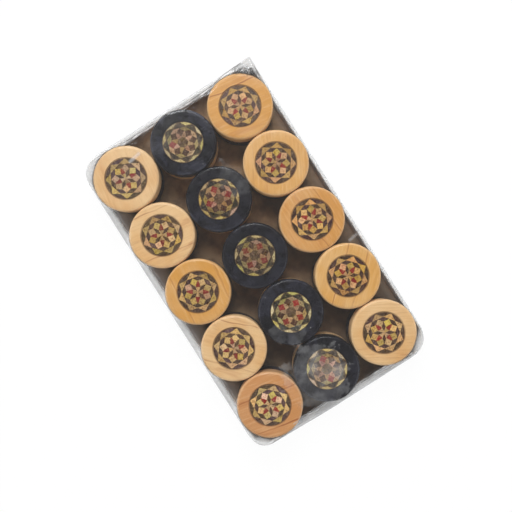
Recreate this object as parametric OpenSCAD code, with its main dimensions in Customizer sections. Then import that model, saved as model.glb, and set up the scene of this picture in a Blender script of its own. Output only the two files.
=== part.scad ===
// Set of thirty wooden backgammon and checkers pieces, packed in a card tray under clear film.
// Two layers of fifteen: ten light and five dark pieces on top, five light and ten dark below.
// Origin: centre of the pack's underside. +Z up, X across the three columns, Y along the five rows.

/* [Checkers] */
// Diameter of a wooden checker
checker_d = 30; // [24:0.5:40]
// Thickness of a wooden checker
checker_t = 9; // [6:0.5:12]
// Radius of the turned edge, top and bottom
edge_r = 1.2; // [0.4:0.1:2.5]
// Width of the fine groove turned round the inlay
groove_w = 0.3; // [0.2:0.05:0.8]
// Depth of that groove below the face
groove_depth = 0.3; // [0.1:0.05:0.8]

/* [Inlay] */
// Diameter of the mosaic slice let into the top face
inlay_d = 18.6; // [12:0.2:20]
// Thickness of the mosaic slice
inlay_t = 0.8; // [0.5:0.1:2]
// How far the slice lies below the face
inlay_sink = 0.1; // [0.05:0.05:0.4]
// Glue gap round the slice
inlay_gap = 0.05; // [0.02:0.01:0.2]
// Thickness of the glue under the slice
glue_t = 0.03; // [0.02:0.01:0.1]

/* [Stacks] */
// Free space between neighbouring columns of checkers
column_gap = 0.5; // [0.3:0.1:2]
// Free space between neighbouring rows of checkers
row_gap = 0.3; // [0.2:0.1:2]

/* [Tray] */
// Thickness of the tray's board
board_t = 1; // [0.6:0.1:2]
// Height of the tray's wall over its underside
tray_h = 9; // [6:0.5:16]
// Free space between the checkers and the long walls, at the tray's floor
tray_gap = 0.3; // [0.2:0.1:2]
// Free space between the checkers and the two end walls, at the tray's floor
tray_end_gap = 1.9; // [0.2:0.1:3]
// How far the walls lean out from the underside to the rim
tray_draft = 0.6; // [0:0.1:2]
// Outer radius of the tray's corners, at its underside
tray_corner_r = 10; // [3:0.5:12]

/* [Film] */
// Thickness of the clear film
film_t = 0.15; // [0.1:0.01:0.3]
// Free space between the film and the tray's wall
film_gap = 0.1; // [0.05:0.05:0.5]
// Free space between the film and the checkers' top faces
top_gap = 0.05; // [0.02:0.01:0.3]
// Free space between the film and the checkers along the long sides
side_gap = 0.15; // [0.1:0.05:1]
// Free space between the film and the checkers at the two ends
end_gap = 0.35; // [0.1:0.05:1]
// Film corner radius, back left
film_r_back_left = 8; // [3:0.5:8.5]
// Film corner radius, back right
film_r_back_right = 5; // [3:0.5:8.5]
// Film corner radius, front right
film_r_front_right = 8; // [3:0.5:8.5]
// Film corner radius, front left
film_r_front_left = 7.5; // [3:0.5:8.5]
// How far the pulled-out film ear stands past the end at the back right corner
ear_reach = 1.6; // [0.3:0.1:2]
// Length of the ear along the end
ear_run = 34; // [10:1:40]
// Length of the ear along the side
ear_side = 9; // [6:1:20]
// Width of the seal bead at the foot, where the two plies of film meet
seal_w = 0.3; // [0.2:0.1:0.6]
// Height of the seal bead
seal_t = 0.25; // [0.2:0.05:0.6]

/* [View] */

/* [Hidden] */
$fn = 96;
eps = 0.01;
columns = 3;
rows = 5;
column_pitch = checker_d + column_gap;
row_pitch = checker_d + row_gap;
// half the span of the checkers, across and along
span_x = (columns - 1) / 2 * column_pitch + checker_d / 2;
span_y = (rows - 1) / 2 * row_pitch + checker_d / 2;
// tray, inside half sizes at its floor and outside ones at its underside, and its levels
tray_in_x = span_x + tray_gap;
tray_in_y = span_y + tray_end_gap;
tray_x = tray_in_x + board_t;
tray_y = tray_in_y + board_t;
tray_z = film_t;
rim_z = tray_z + tray_h;
lean = tray_draft / tray_h;
// depth of the inlay's seat, and checkers' levels
seat_depth = inlay_t + inlay_sink + glue_t;
lower_z = tray_z + board_t;
upper_z = lower_z + checker_t;
top_z = upper_z + checker_t;
// film round the tray, at the tray's underside, and the seal at its foot
skirt_in_x = tray_x + film_gap;
skirt_in_y = tray_y + film_gap;
skirt_in_r = tray_corner_r + film_gap;
skirt_x = skirt_in_x + film_t;
skirt_y = skirt_in_y + film_t;
skirt_r = skirt_in_r + film_t;
seal_x = skirt_x + seal_w;
seal_y = skirt_y + seal_w;
seal_r = skirt_r + seal_w;
ledge_z = rim_z + film_gap;
// film round the upper checkers
hood_in_x = span_x + side_gap;
hood_in_y = span_y + end_gap;
hood_x = hood_in_x + film_t;
hood_y = hood_in_y + film_t;
hood_in_z = top_z + top_gap;
hood_h = hood_in_z + film_t - ledge_z;
// the hood widens down to its ledge, but stays inside the skirt
hood_flare = max(0, 0.7 * min(skirt_x + tray_draft - hood_x, skirt_y + tray_draft - hood_y));
hood_lean = hood_flare / hood_h;
hood_in_r = [film_r_back_left, film_r_back_right, film_r_front_right, film_r_front_left];
hood_r = [for (r = hood_in_r) r + film_t];
round_r = [for (i = [0:3]) 1];

LIGHT = "#DBAE76";
DARK = "#2F2F3C";
LIGHT_INLAY = "#8C8052";
DARK_INLAY = "#9A7A50";
BOARD = "#B9B7B0";
FILM = [0.86, 0.9, 0.92, 0.25];

// Centre of a stack: columns count from the left, rows from the back.
function stack(column, row) =
    [(column - (columns - 1) / 2) * column_pitch, ((rows - 1) / 2 - row) * row_pitch];

// Flat plate with its own radius at each corner: back left, back right, front right, front left.
module plate(x, y, r, h) {
    sx = [-1, 1, 1, -1];
    sy = [1, 1, -1, -1];
    difference() {
        translate([-x, -y, 0]) cube([2 * x, 2 * y, h]);
        for (i = [0:3]) translate([sx[i] * (x - r[i]), sy[i] * (y - r[i]), 0]) difference() {
            translate([sx[i] > 0 ? 0 : -r[i] - 1, sy[i] > 0 ? 0 : -r[i] - 1, -1]) cube([r[i] + 1, r[i] + 1, h + 2]);
            translate([0, 0, -2]) cylinder(r = r[i], h = h + 4);
        }
    }
}

// Block with leaning walls and rounded corners of its own radii, in the same order: x, y and r are those at
// its bottom and grow by slope a millimetre. Each quarter of it is two wedge-sided blocks and part of a cone.
module flared(x, y, r, h, slope) {
    sx = [-1, 1, 1, -1];
    sy = [1, 1, -1, -1];
    g = slope * h;
    for (i = [0:3]) mirror([sx[i] < 0 ? 1 : 0, 0, 0]) mirror([0, sy[i] < 0 ? 1 : 0, 0]) {
        rotate([90, 0, 0]) mirror([0, 0, 1]) linear_extrude(y - r[i]) polygon([[0, 0], [x, 0], [x + g, h], [0, h]]);
        rotate([90, 0, 90]) linear_extrude(x - r[i]) polygon([[0, 0], [y, 0], [y + g, h], [0, h]]);
        translate([x - r[i], y - r[i], 0]) intersection() {
            cylinder(r1 = r[i], r2 = r[i] + g, h = h);
            translate([0, 0, -1]) cube([r[i] + abs(g) + 1, r[i] + abs(g) + 1, h + 2]);
        }
    }
}

// Profile of a turned checker, from its axis to its rounded edge, with the seat and groove of the inlay.
module checker_profile() {
    r = checker_d / 2;
    seat_r = inlay_d / 2 + inlay_gap;
    difference() {
        union() {
            square([r - edge_r, checker_t]);
            translate([0, edge_r]) square([r, checker_t - 2 * edge_r]);
            translate([r - edge_r, edge_r]) circle(edge_r);
            translate([r - edge_r, checker_t - edge_r]) circle(edge_r);
        }
        translate([-1, checker_t - seat_depth]) square([seat_r + 1, seat_depth + 1]);
        translate([seat_r - eps, checker_t - groove_depth]) square([groove_w + eps, groove_depth + 1]);
    }
}

module checker(place, z, tint) {
    color(tint) translate([place.x, place.y, z]) rotate_extrude() checker_profile();
}

module inlay(place, z, tint) {
    color(tint) translate([place.x, place.y, z + checker_t - inlay_sink - inlay_t])
        cylinder(d = inlay_d, h = inlay_t);
}

// Pressed card tray with rounded corners and walls that lean out, open at the top.
module card_tray() {
    color(BOARD) translate([0, 0, tray_z]) difference() {
        flared(tray_x, tray_y, tray_corner_r * round_r, tray_h, lean);
        translate([0, 0, board_t])
            flared(tray_in_x, tray_in_y, (tray_corner_r - board_t) * round_r, tray_h, lean);
    }
}

// Lower ply of the film, flat under the tray and out to the seal.
module film_lower() {
    color(FILM) plate(seal_x, seal_y, seal_r * round_r, film_t);
}

// Upper ply of the film: a hood over the checkers that widens downwards, a ledge over the tray's rim and a
// skirt down its wall to the seal, with the pulled-out ear at one corner.
module film_upper() {
    color(FILM) difference() {
        union() {
            translate([0, 0, film_t]) plate(seal_x, seal_y, seal_r * round_r, seal_t);
            translate([0, 0, film_t + seal_t]) flared(skirt_x + lean * seal_t, skirt_y + lean * seal_t,
                (skirt_r + lean * seal_t) * round_r, ledge_z - seal_t, lean);
            translate([0, 0, ledge_z]) flared(hood_x + hood_flare, hood_y + hood_flare,
                [for (r = hood_r) r + hood_flare], hood_h, -hood_lean);
            translate([0, 0, hood_in_z]) linear_extrude(film_t) polygon([
                [hood_x - ear_run, hood_y - eps], [hood_x + ear_reach / 2, hood_y + ear_reach],
                [hood_x - eps, hood_y - ear_side], [hood_x - ear_side, hood_y - ear_side]
            ]);
        }
        translate([0, 0, film_t - 1]) flared(skirt_in_x - lean, skirt_in_y - lean,
            (skirt_in_r - lean) * round_r, ledge_z - film_t + 1, lean);
        translate([0, 0, ledge_z - 1]) flared(hood_in_x + hood_flare + hood_lean,
            hood_in_y + hood_flare + hood_lean, [for (r = hood_in_r) r + hood_flare + hood_lean],
            hood_in_z - ledge_z + 1, -hood_lean);
    }
}

// Upper layer, light columns: ten checkers and their inlays.
module light_checker_01() { checker(stack(0, 0), upper_z, LIGHT); }
module light_inlay_01() { inlay(stack(0, 0), upper_z, LIGHT_INLAY); }
module light_checker_02() { checker(stack(0, 1), upper_z, LIGHT); }
module light_inlay_02() { inlay(stack(0, 1), upper_z, LIGHT_INLAY); }
module light_checker_03() { checker(stack(0, 2), upper_z, LIGHT); }
module light_inlay_03() { inlay(stack(0, 2), upper_z, LIGHT_INLAY); }
module light_checker_04() { checker(stack(0, 3), upper_z, LIGHT); }
module light_inlay_04() { inlay(stack(0, 3), upper_z, LIGHT_INLAY); }
module light_checker_05() { checker(stack(0, 4), upper_z, LIGHT); }
module light_inlay_05() { inlay(stack(0, 4), upper_z, LIGHT_INLAY); }
module light_checker_06() { checker(stack(2, 0), upper_z, LIGHT); }
module light_inlay_06() { inlay(stack(2, 0), upper_z, LIGHT_INLAY); }
module light_checker_07() { checker(stack(2, 1), upper_z, LIGHT); }
module light_inlay_07() { inlay(stack(2, 1), upper_z, LIGHT_INLAY); }
module light_checker_08() { checker(stack(2, 2), upper_z, LIGHT); }
module light_inlay_08() { inlay(stack(2, 2), upper_z, LIGHT_INLAY); }
module light_checker_09() { checker(stack(2, 3), upper_z, LIGHT); }
module light_inlay_09() { inlay(stack(2, 3), upper_z, LIGHT_INLAY); }
module light_checker_10() { checker(stack(2, 4), upper_z, LIGHT); }
module light_inlay_10() { inlay(stack(2, 4), upper_z, LIGHT_INLAY); }

// Upper layer, dark column: five checkers and their inlays.
module dark_checker_01() { checker(stack(1, 0), upper_z, DARK); }
module dark_inlay_01() { inlay(stack(1, 0), upper_z, DARK_INLAY); }
module dark_checker_02() { checker(stack(1, 1), upper_z, DARK); }
module dark_inlay_02() { inlay(stack(1, 1), upper_z, DARK_INLAY); }
module dark_checker_03() { checker(stack(1, 2), upper_z, DARK); }
module dark_inlay_03() { inlay(stack(1, 2), upper_z, DARK_INLAY); }
module dark_checker_04() { checker(stack(1, 3), upper_z, DARK); }
module dark_inlay_04() { inlay(stack(1, 3), upper_z, DARK_INLAY); }
module dark_checker_05() { checker(stack(1, 4), upper_z, DARK); }
module dark_inlay_05() { inlay(stack(1, 4), upper_z, DARK_INLAY); }

// A checker of the lower layer, with its inlay glued in.
module whole_checker(place, tint, inlay_tint) {
    checker(place, lower_z, tint);
    inlay(place, lower_z, inlay_tint);
}

// Lower layer, under the light columns: ten dark checkers.
module dark_checker_06() { whole_checker(stack(0, 0), DARK, DARK_INLAY); }
module dark_checker_07() { whole_checker(stack(0, 1), DARK, DARK_INLAY); }
module dark_checker_08() { whole_checker(stack(0, 2), DARK, DARK_INLAY); }
module dark_checker_09() { whole_checker(stack(0, 3), DARK, DARK_INLAY); }
module dark_checker_10() { whole_checker(stack(0, 4), DARK, DARK_INLAY); }
module dark_checker_11() { whole_checker(stack(2, 0), DARK, DARK_INLAY); }
module dark_checker_12() { whole_checker(stack(2, 1), DARK, DARK_INLAY); }
module dark_checker_13() { whole_checker(stack(2, 2), DARK, DARK_INLAY); }
module dark_checker_14() { whole_checker(stack(2, 3), DARK, DARK_INLAY); }
module dark_checker_15() { whole_checker(stack(2, 4), DARK, DARK_INLAY); }

// Lower layer, under the dark column: five light checkers.
module light_checker_11() { whole_checker(stack(1, 0), LIGHT, LIGHT_INLAY); }
module light_checker_12() { whole_checker(stack(1, 1), LIGHT, LIGHT_INLAY); }
module light_checker_13() { whole_checker(stack(1, 2), LIGHT, LIGHT_INLAY); }
module light_checker_14() { whole_checker(stack(1, 3), LIGHT, LIGHT_INLAY); }
module light_checker_15() { whole_checker(stack(1, 4), LIGHT, LIGHT_INLAY); }

card_tray();
film_lower();
film_upper();
light_checker_01();
light_checker_02();
light_checker_03();
light_checker_04();
light_checker_05();
light_checker_06();
light_checker_07();
light_checker_08();
light_checker_09();
light_checker_10();
light_checker_11();
light_checker_12();
light_checker_13();
light_checker_14();
light_checker_15();
dark_checker_01();
dark_checker_02();
dark_checker_03();
dark_checker_04();
dark_checker_05();
dark_checker_06();
dark_checker_07();
dark_checker_08();
dark_checker_09();
dark_checker_10();
dark_checker_11();
dark_checker_12();
dark_checker_13();
dark_checker_14();
dark_checker_15();
light_inlay_01();
light_inlay_02();
light_inlay_03();
light_inlay_04();
light_inlay_05();
light_inlay_06();
light_inlay_07();
light_inlay_08();
light_inlay_09();
light_inlay_10();
dark_inlay_01();
dark_inlay_02();
dark_inlay_03();
dark_inlay_04();
dark_inlay_05();
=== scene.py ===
import random
from math import atan2, copysign, cos, degrees, hypot, pi, radians, sin, sqrt

import bmesh
import bpy
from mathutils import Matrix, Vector, noise


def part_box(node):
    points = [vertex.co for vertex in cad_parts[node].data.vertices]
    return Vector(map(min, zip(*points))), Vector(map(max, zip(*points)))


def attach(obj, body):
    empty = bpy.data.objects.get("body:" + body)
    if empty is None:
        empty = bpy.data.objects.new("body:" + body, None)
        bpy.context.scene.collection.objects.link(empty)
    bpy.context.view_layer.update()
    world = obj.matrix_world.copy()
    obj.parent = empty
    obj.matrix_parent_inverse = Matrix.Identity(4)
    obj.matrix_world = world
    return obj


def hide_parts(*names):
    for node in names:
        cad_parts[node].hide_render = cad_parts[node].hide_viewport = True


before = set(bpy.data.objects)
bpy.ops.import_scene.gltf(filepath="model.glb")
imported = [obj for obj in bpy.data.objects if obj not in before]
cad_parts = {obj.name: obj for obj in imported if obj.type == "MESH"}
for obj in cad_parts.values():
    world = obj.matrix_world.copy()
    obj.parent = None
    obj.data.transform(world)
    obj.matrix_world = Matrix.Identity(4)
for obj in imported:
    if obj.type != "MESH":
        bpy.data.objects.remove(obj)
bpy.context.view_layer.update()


# White table, camera and lamps.
# The pack lies on a plain white table and is seen from straight above, from 305 mm, turned a
# little more than 32 degrees. One large soft box and three weak fills stand well to the side.
MM = 0.001
TURN = radians(-32.45)
CAMERA_PLACE = (0.3 * MM, -0.4 * MM, 305 * MM)
LENS, SENSOR_WIDTH = 44.56, 36
CLIP_START, CLIP_END = 0.01, 20
TABLE_REACH, TABLE_DROP, TABLE_GLOW = 4.0, 0.02 * MM, 0.96
SKY_LOW, SKY_HIGH = 0.53, 0.14
scene = bpy.context.scene
scene.view_settings.view_transform = "Standard"
tree = None  # The node tree that is being filled, by put() and the helpers that call it.


def srgb(red, green, blue):
    """A colour as the eye reads it, 0 to 255 a channel, made linear for a shader."""
    channels = []
    for value in (red, green, blue):
        value /= 255
        channels.append(value / 12.92 if value <= 0.04045 else ((value + 0.055) / 1.055) ** 2.4)
    return (*channels, 1.0)


def put(kind, sockets=None, **settings):
    """Puts one node in the tree. A socket gets a value, or is joined to another node's output."""
    node = tree.nodes.new(kind)
    for key, value in settings.items():
        setattr(node, key, value)
    for key, value in (sockets or {}).items():
        if isinstance(value, bpy.types.NodeSocket):
            tree.links.new(value, node.inputs[key])
        else:
            node.inputs[key].default_value = value
    return node


def calc(operation, first, second=0.0, clamp=False):
    node = put("ShaderNodeMath", {0: first, 1: second}, operation=operation)
    node.use_clamp = clamp
    return node.outputs[0]


def times(product, *factors):
    for factor in factors:
        product = calc("MULTIPLY", product, factor)
    return product


def between(value, low, high, start=0.0, end=1.0):
    """Runs smoothly from start to end while value goes from low to high."""
    return put("ShaderNodeMapRange", {0: value, 1: low, 2: high, 3: start, 4: end},
               interpolation_type="SMOOTHSTEP").outputs[0]


def split(value):
    """The X, Y and Z of a vector."""
    return put("ShaderNodeSeparateXYZ", {0: value}).outputs


def tint(share, first, second, mode="MIX"):
    return put("ShaderNodeMix", {0: share, 6: first, 7: second},
               data_type="RGBA", blend_type=mode).outputs[2]


def mixed(share, first, second):
    """The first shader, and the second for this share."""
    return put("ShaderNodeMixShader", {0: share, 1: first, 2: second}).outputs[0]


def seen_directly():
    """1 for rays from the camera, also through the film, and 0 for light that bounces."""
    path = put("ShaderNodeLightPath").outputs
    return calc("MAXIMUM", path["Is Camera Ray"], path["Is Transmission Ray"])


def fill(owner):
    """Starts on the nodes of a material or a world."""
    global tree
    owner.use_nodes = True
    tree = owner.node_tree
    tree.nodes.clear()
    return owner


def new_finish(name):
    return fill(bpy.data.materials.new(name))


def out(shader):
    put("ShaderNodeOutputMaterial", {"Surface": shader})


def placed(name, data):
    """A new object in the scene."""
    made = bpy.data.objects.new(name, data)
    scene.collection.objects.link(made)
    return made


table_white = new_finish("white table")
lit = put("ShaderNodeBsdfDiffuse", {"Color": srgb(246, 246, 246)})
plain = put("ShaderNodeEmission", {"Color": (1, 1, 1, 1), "Strength": 1.0})
glow = times(seen_directly(), TABLE_GLOW)
out(mixed(glow, lit.outputs[0], plain.outputs[0]))

table_mesh = bpy.data.meshes.new("table")
corners = [(x * TABLE_REACH, y * TABLE_REACH, -TABLE_DROP)
           for x, y in ((-1, -1), (1, -1), (1, 1), (-1, 1))]
table_mesh.from_pydata(corners, [], [(0, 1, 2, 3)])
table_mesh.materials.append(table_white)
table = placed("table", table_mesh)

camera_data = bpy.data.cameras.new("camera")
camera = placed("camera", camera_data)
scene.camera = camera
camera_data.sensor_width = SENSOR_WIDTH
camera_data.lens = LENS
camera_data.clip_start = CLIP_START
camera_data.clip_end = CLIP_END
camera.location = CAMERA_PLACE
camera.rotation_euler = (0, 0, TURN)


def soft_box(name, azimuth, elevation, distance, size, power):
    """An area lamp that looks at the pack. Azimuth is turned from the top of the picture."""
    lamp = bpy.data.lights.new(name, "AREA")
    lamp.shape = "SQUARE"
    lamp.size = size
    lamp.energy = power
    around = radians(90 + azimuth) + TURN
    up = radians(elevation)
    way = Vector((cos(around) * cos(up), sin(around) * cos(up), sin(up)))
    body = placed(name, lamp)
    body.location = way * distance
    body.rotation_euler = way.to_track_quat("Z", "Y").to_euler()


soft_box("key lamp", 8, 50, 1.3, 0.6, 15.2)
soft_box("left lamp", 100, 42, 1.4, 0.7, 3.0)
soft_box("right lamp", -105, 42, 1.4, 0.7, 3.0)
soft_box("low lamp", 180, 40, 1.5, 0.8, 1.7)

scene.world = fill(bpy.data.worlds.new("studio"))
height = split(put("ShaderNodeTexCoord").outputs["Generated"])["Z"]
dim = between(height, 0.55, 0.95, SKY_LOW, SKY_HIGH)
level = tint(seen_directly(), dim, (1, 1, 1, 1))
sky = put("ShaderNodeBackground", {"Color": level, "Strength": 1.0})
put("ShaderNodeOutputWorld", {"Surface": sky.outputs[0]})


# Tray.
# A shallow tray pressed from grey board: rounded corners, walls that lean out and a soft rolled
# rim. The discs stand in it in two layers, and the film is shrunk over it.
TRAY_WALL, TRAY_FLOOR = 1.0 * MM, 1.0 * MM
TRAY_CORNER, TRAY_LEAN, TRAY_ROLL = 10.0 * MM, 0.6 * MM, 0.45 * MM
OUTER_WAVE, INNER_WAVE = 0.12 * MM, 0.15 * MM
PRESSED_IN = 0.8 * MM
CRISP = 40


def rounded_outline(half_x, half_y, radii, side_steps=(60, 100), corner_steps=14):
    """Points round a rectangle with its own radius at each corner, from the back right corner
    anticlockwise: back right, back left, front left, front right."""
    arcs = []
    for start, sx, sy, radius in zip((0, 90, 180, 270), (1, -1, -1, 1), (1, 1, -1, -1), radii):
        radius = max(radius, 0.0)
        middle = (sx * (half_x - radius), sy * (half_y - radius))
        arc = []
        for step in range(corner_steps + 1):
            angle = radians(start + 90 * step / corner_steps)
            arc.append((middle[0] + radius * cos(angle), middle[1] + radius * sin(angle)))
        arcs.append(arc)
    points = []
    for number, arc in enumerate(arcs):
        points += arc
        (x, y), after = arc[-1], arcs[(number + 1) % 4][0]
        steps = side_steps[number % 2]
        for step in range(1, steps):
            part = step / steps
            points.append((x + (after[0] - x) * part, y + (after[1] - y) * part))
    return points


def skin(mesh_name, loops, closed=True):
    """A skin through loops of points that have the same count, closed at both ends or open."""
    shape = bmesh.new()
    rows = [[shape.verts.new(point) for point in loop] for loop in loops]
    count = len(rows[0])
    for lower, upper in zip(rows, rows[1:]):
        for i in range(count):
            j = (i + 1) % count
            shape.faces.new((lower[i], lower[j], upper[j], upper[i]))
    if closed:
        shape.faces.new(list(reversed(rows[0])))
        shape.faces.new(rows[-1])
    mesh = bpy.data.meshes.new(mesh_name)
    shape.to_mesh(mesh)
    shape.free()
    return mesh


def smoothed(mesh, crisp=CRISP):
    """Smooth shading but for edges sharper than crisp degrees."""
    mesh.polygons.foreach_set("use_smooth", [True] * len(mesh.polygons))
    mesh.set_sharp_from_angle(angle=radians(crisp))


def piece(name, mesh, finish, crisp=CRISP):
    mesh.materials.clear()
    mesh.materials.append(finish)
    smoothed(mesh, crisp)
    return placed(name, mesh)


def carry(mesh, name, values):
    """Gives each point of a mesh a value for the shader."""
    mesh.attributes.new(name, "FLOAT", "POINT").data.foreach_set("value", values)


def carried(name, output="Fac"):
    """What the mesh carries under this name."""
    return put("ShaderNodeAttribute", attribute_name=name).outputs[output]


def pattern(place, scale, detail=2.0, roughness=0.5, distortion=0.0):
    """A noise round 0.5 with so many waves to the metre."""
    return put("ShaderNodeTexNoise", {
        "Vector": place, "Scale": scale, "Detail": detail, "Roughness": roughness,
        "Distortion": distortion}).outputs[0]


def washed(colour, *washes):
    """Lays colours over the first one. Each comes with its pattern, the pattern's low and high
    value, and how much of the colour there is at each."""
    for value, low, high, start, end, wash in washes:
        colour = tint(between(value, low, high, start, end), colour, srgb(*wash))
    return colour


def bumped(height, strength, depth):
    return put("ShaderNodeBump",
               {"Height": height, "Strength": strength, "Distance": depth}).outputs[0]


def shelled(finish, colour, roughness, gloss, *relief):
    """Ends a finish: colour under a more or less glossy surface with a fine relief."""
    shell = put("ShaderNodeBsdfPrincipled",
                {"Base Color": colour, "Roughness": roughness, "Specular IOR Level": gloss,
                 "Normal": bumped(*relief)})
    out(shell.outputs[0])
    return finish


def grey_board(name, inside_floor):
    """Pressed grey board: short pale and dark fibres, a soft mottle, browner inside and low
    down, darker brown towards the front, and paler along the side walls as painted light."""
    finish = new_finish(name)
    spot = put("ShaderNodeTexCoord").outputs["Object"]
    fibres = pattern(spot, 1900.0, 5.0, 0.65, 1.2)
    mottle = pattern(spot, 130.0, 3.0)
    pulp = put("ShaderNodeTexVoronoi", {"Vector": spot, "Scale": 700.0}).outputs["Distance"]
    across, along, deep = split(spot)
    colour = tint(between(mottle, 0.35, 0.7), srgb(204, 204, 202), srgb(222, 222, 220))
    colour = washed(colour, (fibres, 0.45, 0.75, 0.0, 0.35, (172, 168, 162)),
                    (pulp, 0.0, 0.35, 0.12, 0.0, (120, 104, 90)))
    browner = between(deep, inside_floor + 0.1 * MM, inside_floor + 7.5 * MM, 1.0, 0.3)
    browner = times(browner, carried("inside"), 0.95)
    stain = tint(between(mottle, 0.35, 0.65), srgb(134, 104, 76), srgb(184, 148, 108))
    stain = washed(stain, (along, 55 * MM, -60 * MM, 0.0, 0.7, (88, 68, 48)))
    # Paler towards the side walls: painted light on the floor by the walls, which lies in shade.
    painted_light_by_wall = calc("MAXIMUM", between(across, -37 * MM, -41 * MM, 0.0, 0.95),
                   between(across, 42 * MM, 46 * MM, 0.0, 0.55))
    stain = tint(painted_light_by_wall, stain, srgb(240, 210, 176))
    colour = tint(browner, colour, stain)
    return shelled(finish, colour, 0.86, 0.25, fibres, 0.35, 0.12 * MM)


tray_low, tray_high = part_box("card_tray")
half_x, half_y = tray_high.x - TRAY_LEAN, tray_high.y - TRAY_LEAN
foot_z, floor_z, rim_z = tray_low.z, tray_low.z + TRAY_FLOOR, tray_high.z


def smooth(value, low, high):
    part = min(max((value - low) / (high - low), 0.0), 1.0)
    return part * part * (3 - 2 * part)


def wander(x, y, z):
    """A smooth random value, 0 to 1, that is the same at the same place each run."""
    return 0.5 + 0.5 * noise.noise(Vector((x, y, z)))


def pressed_in(x, y):
    """How far the front wall is pressed in towards its left end."""
    return PRESSED_IN * smooth(-x, 5 * MM, 40 * MM) * smooth(-y, 60 * MM, 76 * MM)


def tray_loop(inset, z, wave):
    lean = TRAY_LEAN * (z - foot_z) / (rim_z - foot_z) - inset
    loop = []
    for x, y in rounded_outline(half_x + lean, half_y + lean, [TRAY_CORNER + lean] * 4):
        pull = wave * wander(x * 60, y * 60, z * 40)
        length = hypot(x / half_x, y / half_y)
        loop.append((x - pull * (x / half_x) / length,
                     y - pull * (y / half_y) / length + pressed_in(x, y), z))
    return loop


# The tray's section, from under the foot over the rim to the floor: inset, height, wave, and how
# far inside it is.
quarter = [radians(a) for a in (0, 22.5, 45, 67.5, 90)]
roll = [(TRAY_ROLL * (1 - sin(a)), TRAY_ROLL * (1 - cos(a))) for a in quarter]
section = [(s, foot_z + c, 0, 0.0) for s, c in roll]
section += [(0, foot_z + (rim_z - foot_z) * part, OUTER_WAVE, 0.0) for part in (0.3, 0.6)]
section += [(c, rim_z - s, 0, 0.0) for s, c in roll]
section += [(TRAY_WALL - s, rim_z - c, 0, 0.3) for s, c in roll]
section += [(TRAY_WALL, floor_z + (rim_z - floor_z) * part, INNER_WAVE, 1.0)
            for part in (0.7, 0.45, 0.2)]
section += [(TRAY_WALL + c, floor_z + s, 0, 1.0) for s, c in roll]
loops = [tray_loop(inset, z, wave) for inset, z, wave, _ in section]
tray_mesh = skin("pressed tray", loops)
carry(tray_mesh, "inside", [inside for *_, inside in section for _ in loops[0]])
tray = piece("pressed_tray", tray_mesh, grey_board("pressed grey board", floor_z))
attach(tray, "tray")
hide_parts("card_tray")


# Wooden checkers.
# Each disc is turned from a wooden rod: rounded edges, a flat face, a shallow recess for the
# mosaic slice and a fine groove round it. Light discs are clear varnished, dark ones stained.
DISC_RADIUS, DISC_HEIGHT = 15.0 * MM, 8.98 * MM
EDGE_ROUND, EDGE_STEPS = 1.2 * MM, 6
RECESS_RADIUS, RECESS_DEPTH = 9.35 * MM, 0.93 * MM
GROOVE_RADIUS, GROOVE_DEPTH = 9.65 * MM, 0.3 * MM
GROOVE_BREAK = 0.08 * MM
ROUND_STEPS = 96
MERGE_DISTANCE = 0.004 * MM
DISCS_OF_A_KIND = 15


def disc_section():
    """Half the section of a disc, from the middle of its underside to the middle of the recess."""
    angles = [radians(90 * step / EDGE_STEPS) for step in range(EDGE_STEPS + 1)]
    quarter = [(sin(a), cos(a)) for a in angles]
    flat = DISC_RADIUS - EDGE_ROUND
    points = [(0.0, 0.0), (6 * MM, 0.0)]
    points += [(flat + EDGE_ROUND * s, EDGE_ROUND * (1 - c)) for s, c in quarter]
    points += [(flat + EDGE_ROUND * c, DISC_HEIGHT - EDGE_ROUND * (1 - s)) for s, c in quarter]
    points += [(radius, DISC_HEIGHT - depth) for radius, depth in (
        (12.6 * MM, 0), (11.0 * MM, 0), (GROOVE_RADIUS + GROOVE_BREAK, 0),
        (GROOVE_RADIUS, GROOVE_BREAK), (GROOVE_RADIUS, GROOVE_DEPTH),
        (RECESS_RADIUS, GROOVE_DEPTH), (RECESS_RADIUS, RECESS_DEPTH), (0.0, RECESS_DEPTH))]
    curve = bpy.data.curves.new("disc section", "CURVE")
    curve.dimensions = "3D"
    line = curve.splines.new("POLY")
    line.points.add(len(points) - 1)
    for place, (r, z) in zip(line.points, points):
        place.co = (r, 0, z, 1)
    return placed("disc section", curve), len(points)


def vector(operation, first, second=(0, 0, 0), output=0):
    return put("ShaderNodeVectorMath", {0: first, 1: second}, operation=operation).outputs[output]


def combined(x=0.0, y=0.0, z=0.0):
    return put("ShaderNodeCombineXYZ", {0: x, 1: y, 2: z}).outputs[0]


def new_tree(name, output, inputs):
    """Starts on a geometry tree with named inputs and one output; gives those inputs."""
    global tree
    tree = bpy.data.node_groups.new(name, "GeometryNodeTree")
    for label, kind in inputs.items():
        tree.interface.new_socket(label, in_out="INPUT", socket_type="NodeSocket" + kind)
    tree.interface.new_socket(output, in_out="OUTPUT", socket_type="NodeSocketGeometry")
    return put("NodeGroupInput").outputs


def dressed(geometry, finish):
    """Ends the geometry tree with its material."""
    made = put("GeometryNodeSetMaterial", {"Geometry": geometry, "Material": finish})
    put("NodeGroupOutput", {0: made.outputs[0]})
    return tree


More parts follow.
